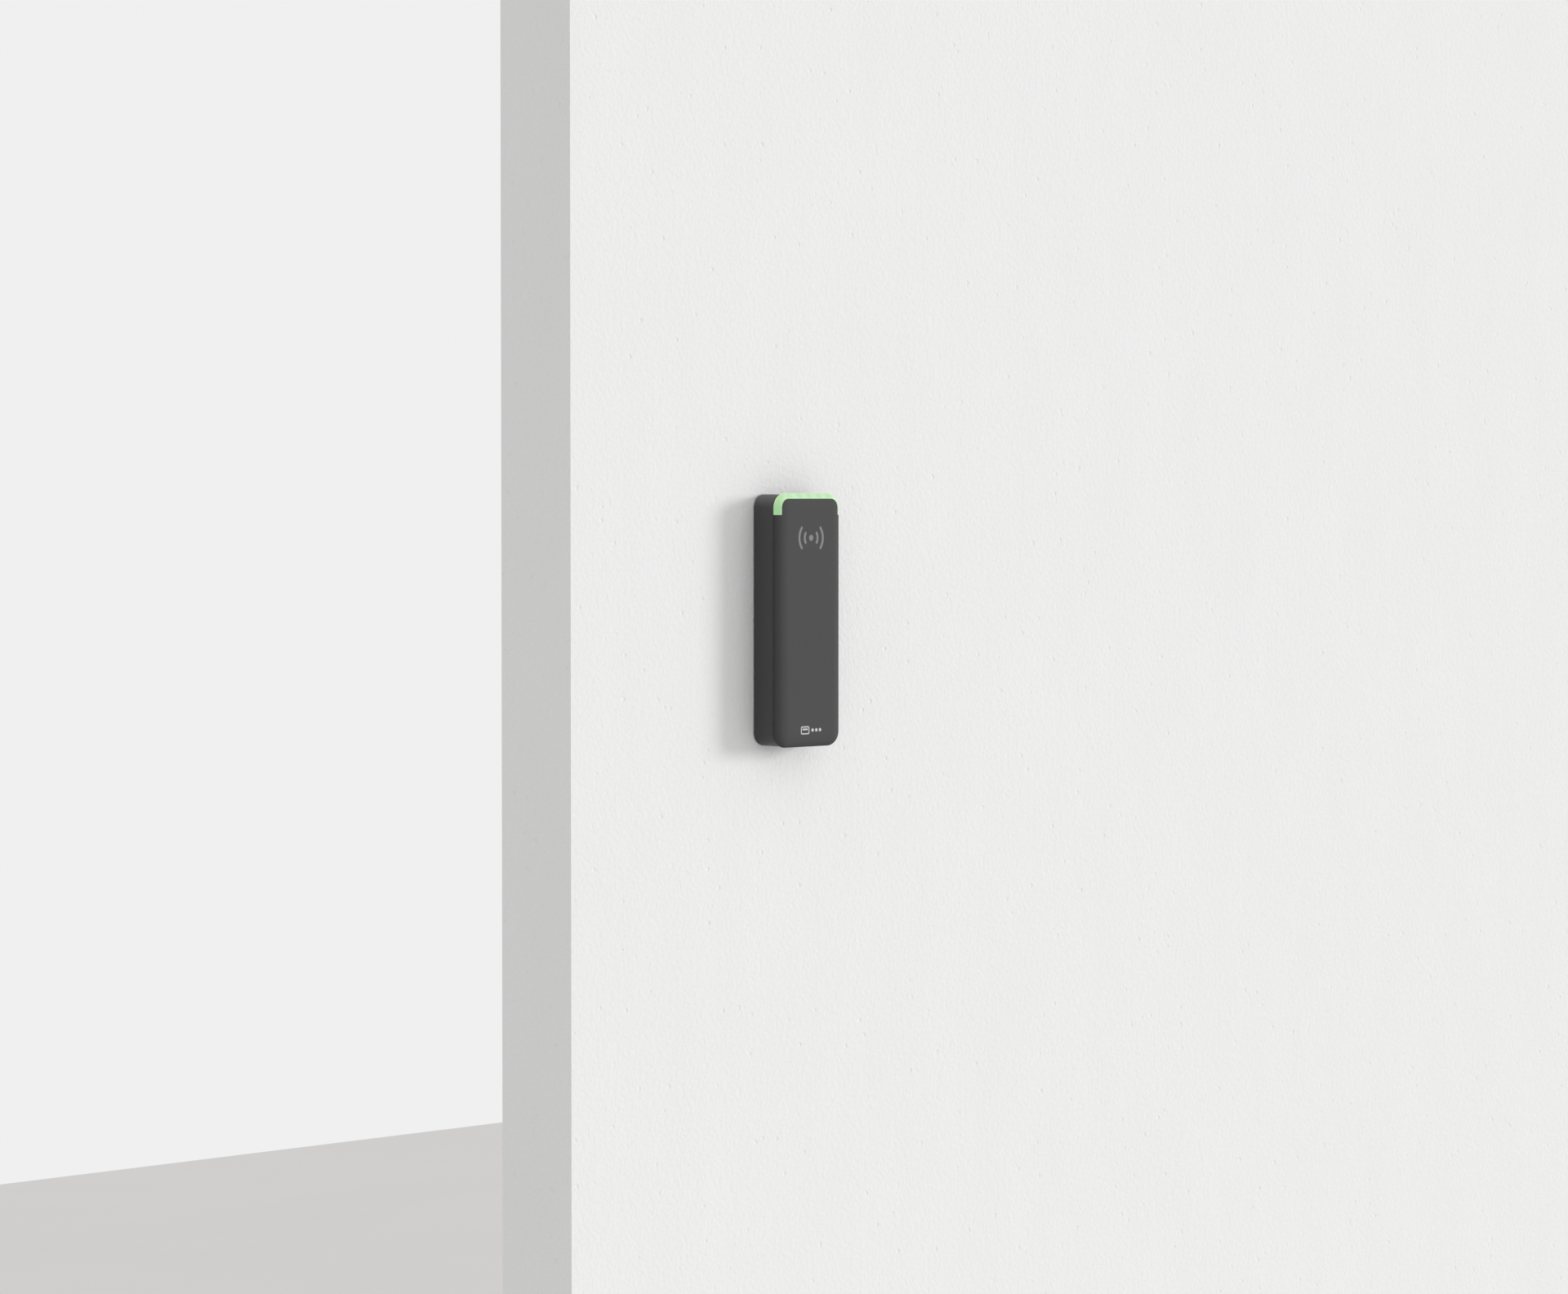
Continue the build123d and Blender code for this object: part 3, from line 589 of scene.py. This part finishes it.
close_tree(sweep, given, both)


# %% Run a tree on a piece and keep only the mesh it makes
def grow(piece, graph, **inputs):
    """Sets a tree's inputs by their identifiers, evaluates it and keeps a plain mesh."""
    made = piece.modifiers.new(graph.tree.name, "NODES")
    made.node_group = graph.tree
    for item in graph.tree.interface.items_tree:
        label = item.name.replace(" ", "_")
        if item.in_out == "INPUT" and label in inputs:
            made[item.identifier] = inputs[label]
    now = bpy.context.evaluated_depsgraph_get()
    mesh = bpy.data.meshes.new_from_object(piece.evaluated_get(now), depsgraph=now)
    piece.modifiers.clear()
    piece.data = mesh
    print(piece.name, len(mesh.polygons), "faces")
    return piece


def mesh_piece(name, points, edges=(), faces=()):
    mesh = bpy.data.meshes.new(name)
    mesh.from_pydata([Vector(p) for p in points], edges, faces)
    made = bpy.data.objects.new(name, mesh)
    bpy.context.scene.collection.objects.link(made)
    return made


def settle(piece, body, slot, *replaced):
    """Says what a finished piece moves with and hides the parts it stands for; the slot is not used."""
    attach(piece, body)
    if replaced:
        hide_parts(*replaced)


# %% Milky acrylic, lit green from four lamps
guide_glow = Finish("green_guide", (0.39, 0.40, 0.38), 0.3, Emission_Strength=1.0, Coat_Weight=0.25)
LAMP_PITCH = 6.4 * MM
LINE = 0.6 * MM
FADE = 4 * MM
lamps = guide_glow.x.wave(LAMP_PITCH, LAMP_PITCH / 2) * guide_glow.z.above(TOP - FADE, FADE)
# The lamp spots are the real glow; the thin lines along the band's inner edges are a painted highlight.
inside = HALF_W - BAND - guide_glow.x.size()
near_edge = 1.0 - inside.size().above(LINE, LINE)
near_top = 1.0 - (guide_glow.z - (TOP - BAND)).size().above(LINE, LINE)
cloudy = guide_glow.noise(0.003, 3.0)
glow_and_edge_highlight = lamps * 0.35 + near_edge.maths("MAXIMUM", near_edge, near_top) * 0.25 + cloudy * 0.15
# Painted light: the emission is stronger over the top band than down the legs, standing in for the light
# that falls on the top.
top_band = guide_glow.z.above(TOP - 5.5 * MM, FADE)
glow_with_painted_top_light = guide_glow.mix(top_band, (0.03, 0.28, 0.01), (0.10, 0.34, 0.05))
guide_glow.set("Emission Color", guide_glow.mix(glow_and_edge_highlight, glow_with_painted_top_light, (0.24, 0.55, 0.18)))
guide_glow.set("Roughness", 0.26 + cloudy * 0.12)
guide_glow.relief(guide_glow.noise(0.0008, 2.0), 0.000006)

# %% Sweep the guide
across = line_curve("guide_section", [(depth, inset, 0) for inset, depth in section], True)
edge_light = mesh_piece("edge_light", path, [(i, i + 1) for i in range(len(path) - 1)])
lamp_low, lamp_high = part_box("status_leds")
LAMP_W = 2.0 * MM
lamp_pitch = (lamp_high[0] - lamp_low[0] - LAMP_W) / 3
pipe_size = (2.2 * MM, 1.2 * MM, 4.0 * MM)
PIPE_DEPTH = BACK + 0.7 * MM
PIPE_DOWN = 4.4 * MM
pipe_start = (lamp_low[0] + LAMP_W / 2, -PIPE_DEPTH, guide_high[2] - PIPE_DOWN)
grow(
    edge_light,
    sweep,
    Section=across,
    First_Pipe=pipe_start,
    Pipe_Pitch=lamp_pitch,
    Pipe_Size=pipe_size,
    Material=guide_glow.material,
)
bpy.data.objects.remove(across)
settle(edge_light, "reader", "green_guide", "light_guide")

# %% [markdown]
# ## Turned parts
#
# The locking screw and its brass insert are turned parts. In the solid model they are
# plain shanks, because a thread only costs triangles there. Here a thread is a radius that
# rises and falls as it climbs and turns, so a stack of rings whose radius follows that
# rule gives it, and the same stack gives the knurl and the six-lobed socket.


# %% Stack rings into a closed skin
def turned(name, rings, around, middle, hollow, finish):
    """Each ring is a rule that takes a turn and gives a radius and a height."""
    points = []
    for ring in rings:
        for step in range(around):
            turn = 2 * math.pi * step / around
            radius, height = ring(turn)
            x, y = radius * math.cos(turn), radius * math.sin(turn)
            points.append((middle[0] + x, middle[1] + y, height))
    faces = []
    for i in range(len(rings) if hollow else len(rings) - 1):
        j = (i + 1) % len(rings)
        for step in range(around):
            after = (step + 1) % around
            faces.append((i * around + step, i * around + after, j * around + after, j * around + step))
    if not hollow:
        faces.append(tuple(reversed(range(around))))
        faces.append(tuple(range(len(points) - around, len(points))))
    made = mesh_piece(name, points, faces=faces)
    made.data.materials.append(finish.material)
    made.data.shade_smooth()
    made.data.set_sharp_from_angle(angle=math.radians(40))
    print(name, len(faces), "faces")
    return made


def plain(radius, height):
    return lambda turn: (radius, height)


# %% The locking screw
screw_low, screw_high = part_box("lock_screw")
screw_mid = ((screw_low[0] + screw_high[0]) / 2, (screw_low[1] + screw_high[1]) / 2)
HEAD_R = (screw_high[0] - screw_low[0]) / 2
HEAD_T = 1.4 * MM
CREST = 1.25 * MM
ROOT = 1.0 * MM
PITCH = 0.45 * MM
under = screw_low[2]
seat = under + HEAD_T
tip = screw_high[2]
SOCKET_DEEP = 0.9 * MM
PIN_R = 0.36 * MM
PIN_DOWN = 0.1 * MM
ROUND = 0.5 * MM
BREAK = 0.1 * MM


def lobes(height, grow_by=0.0):
    return lambda turn: ((1.0 + 0.17 * math.cos(6 * turn)) * MM + grow_by, height)


def thread(height):
    """The radius at a height: a rounded ridge that climbs one pitch per turn."""

    def ring(turn):
        phase = (height / PITCH - turn / (2 * math.pi)) % 1.0
        ridge = max(0.0, 1 - 2.3 * abs(phase - 0.5))
        fade = min(1.0, (tip - height) / (2 * PITCH), (height - seat) / (2 * PITCH))
        blunt = min(CREST, ROOT + max(0.0, fade) * ridge * (CREST - ROOT) * 1.15)
        return min(blunt, 0.75 * MM + (tip - height)), height

    return ring


rings = [plain(PIN_R - 0.06 * MM, under + PIN_DOWN), plain(PIN_R, under + PIN_DOWN + 0.06 * MM)]
rings += [plain(PIN_R, under + SOCKET_DEEP), lobes(under + SOCKET_DEEP), lobes(under + 0.12 * MM)]
rings += [lobes(under, BREAK), plain(HEAD_R - ROUND, under)]
for t in (0.4, 0.8, 1.2):
    rings.append(plain(HEAD_R - ROUND * (1 - math.sin(t)), under + ROUND * (1 - math.cos(t))))
rings += [plain(HEAD_R, under + ROUND), plain(HEAD_R, seat - BREAK), plain(HEAD_R - BREAK, seat)]
rings += [plain(ROOT, seat)]
steps = round((tip - seat) / (PITCH / 8))
rings += [thread(seat + (tip - seat) * i / steps) for i in range(1, steps + 1)]
screw = turned("threaded_lock_screw", rings, 36, screw_mid, False, steel)
settle(screw, "lock_screw", "steel_screw", "lock_screw")

# %% The knurled insert in the plate's lug
insert_low, insert_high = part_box("lock_insert")
insert_mid = ((insert_low[0] + insert_high[0]) / 2, (insert_low[1] + insert_high[1]) / 2)
INSERT_R = (insert_high[0] - insert_low[0]) / 2
BORE = 1.3 * MM
GROOVE_AT = insert_low[2] + 2.25 * MM


def knurl(height):
    """Slanting teeth in two bands that lean opposite ways, with a groove between."""

    def ring(turn):
        if abs(height - GROOVE_AT) < 0.35 * MM:
            return 1.6 * MM, height
        lean = 1 if height > GROOVE_AT else -1
        tooth = 0.5 + 0.5 * math.cos(24 * turn + lean * (height - GROOVE_AT) / (0.12 * MM))
        return INSERT_R - 0.14 * MM * (1 - tooth), height

    return ring


foot, top = insert_low[2], insert_high[2]
CHAMFER = 0.2 * MM
STACK = 46
rings = [plain(INSERT_R - CHAMFER, foot)]
rings += [knurl(foot + (top - foot) * i / STACK) for i in range(1, STACK)]
rings += [plain(INSERT_R - CHAMFER, top), plain(BORE + BREAK, top)]
rings += [plain(BORE, top - BREAK), plain(BORE, foot + BREAK)]
rings += [plain(BORE + BREAK, foot)]
insert = turned("knurled_insert", rings, 120, insert_mid, True, brass)
settle(insert, "wall_plate", "brass_insert", "lock_insert")

# %% [markdown]
# ## Small things in rows
#
# Ejector marks on the plate, solder joints on the board and tinned ends on the chip
# capacitors are all one shape on a list of places. One tree serves them all: it puts a
# copy of the shape on every point of the piece that carries it.

# %% A tree that copies a shape onto points
copies, given = new_tree("copies_on_points", Shape="Object", Turn="Vector", Material="Material")
shape = copies.add("GeometryNodeObjectInfo", None, given.out("Shape")).out("Geometry")
turned_by = copies.add("FunctionNodeEulerToRotation", None, given.out("Turn"))
copied = copies.add("GeometryNodeInstanceOnPoints", None, given, Instance=shape, Rotation=turned_by)
close_tree(copies, given, copied)


def button(radius, rise, curve, steps=14):
    """A low disc with a rounded rim, which stands out towards -Y."""
    rings = [(radius, 0), (radius, rise - curve)]
    rings += [(radius - 0.3 * curve, rise - 0.3 * curve), (radius - curve, rise)]
    points = []
    for r, h in rings:
        for i in range(steps):
            turn = 2 * math.pi * i / steps
            points.append((r * math.cos(turn), -h, r * math.sin(turn)))
    faces = [tuple(reversed(range(steps))), tuple(range(3 * steps, 4 * steps))]
    for k in range(3):
        for i in range(steps):
            j = (i + 1) % steps
            faces.append((k * steps + j, (k + 1) * steps + j, (k + 1) * steps + i, k * steps + i))
    made = mesh_piece("shape", points, faces=faces)
    made.data.shade_smooth()
    made.data.set_sharp_from_angle(angle=math.radians(50))
    return made


def repeat(name, shape, places, finish, body, slot, turn=0):
    """Copies the shape onto places, each turned about the vertical by a number of degrees."""
    row = mesh_piece(name, places)
    grow(row, copies, Shape=shape, Turn=(0.0, 0.0, math.radians(turn)), Material=finish.material)
    bpy.data.objects.remove(shape)
    settle(row, body, slot)
    return row


# %% Solder joints over the pins of the terminals and the buzzer
board_low, board_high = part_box("main_board")
FRONT_OF_BOARD = board_low[1]
row_low, row_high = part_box("terminal_screws")
SCREW_R = 1.2 * MM
PINS_BELOW = 3.2 * MM
pole_z = (row_low[2] + row_high[2]) / 2 - PINS_BELOW
first, last = row_low[0] + SCREW_R, row_high[0] - SCREW_R
joints = [(first + (last - first) * i / 5, FRONT_OF_BOARD, pole_z) for i in range(6)]
buzz_low, buzz_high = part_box("buzzer")
BUZZ_PIN_IN = 1.6 * MM
for x in (buzz_low[0] + BUZZ_PIN_IN, buzz_high[0] - BUZZ_PIN_IN):
    joints.append((x, FRONT_OF_BOARD, (buzz_low[2] + buzz_high[2]) / 2))
repeat("solder_joints", button(0.75 * MM, 0.55 * MM, 0.4 * MM), joints, tin, "reader", "tinned_steel")

# %% Ejector marks on the back of the plate
plate_low, plate_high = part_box("mounting_plate")
SUNK = 0.3 * MM
spots = [(13.8, 46), (13.8, 28), (-13.8, 4), (13.8, -10), (-13.8, -49), (13.8, -49), (0, 17)]
marks = [(x * MM, plate_high[1] - SUNK, z * MM) for x, z in spots]
pin = button(1.5 * MM, SUNK + 0.07 * MM, 0.05 * MM, 24)
repeat("ejector_marks", pin, marks, plate_plastic, "wall_plate", "plate_plastic", 180)

# %% Tinned ends on the chip capacitors
CHIP = 1.6 * MM
END = 0.35 * MM
PROUD = 0.02 * MM
chips = [(3.2 * (i - 2), -20 + z) for i in range(5) for z in (-1.2, 1.2)]
chips += [(-9.5, 6 + 3 * i) for i in (-1, 0, 1)]
chips += [(6.4 * (i - 1.5), 48) for i in range(4)]
out = (CHIP - END) / 2 + PROUD
ends = [(x * MM + side, FRONT_OF_BOARD, z * MM) for x, z in chips for side in (-out, out)]
w, d, h = END / 2, 0.82 * MM, 0.42 * MM
box = [(x, y, z) for x in (-w, w) for y in (0, -d) for z in (-h, h)]
sides = [(0, 2, 3, 1), (4, 5, 7, 6), (0, 1, 5, 4), (2, 6, 7, 3), (0, 4, 6, 2), (1, 3, 7, 5)]
repeat("capacitor_ends", mesh_piece("shape", box, faces=sides), ends, tin, "reader", "tinned_steel")
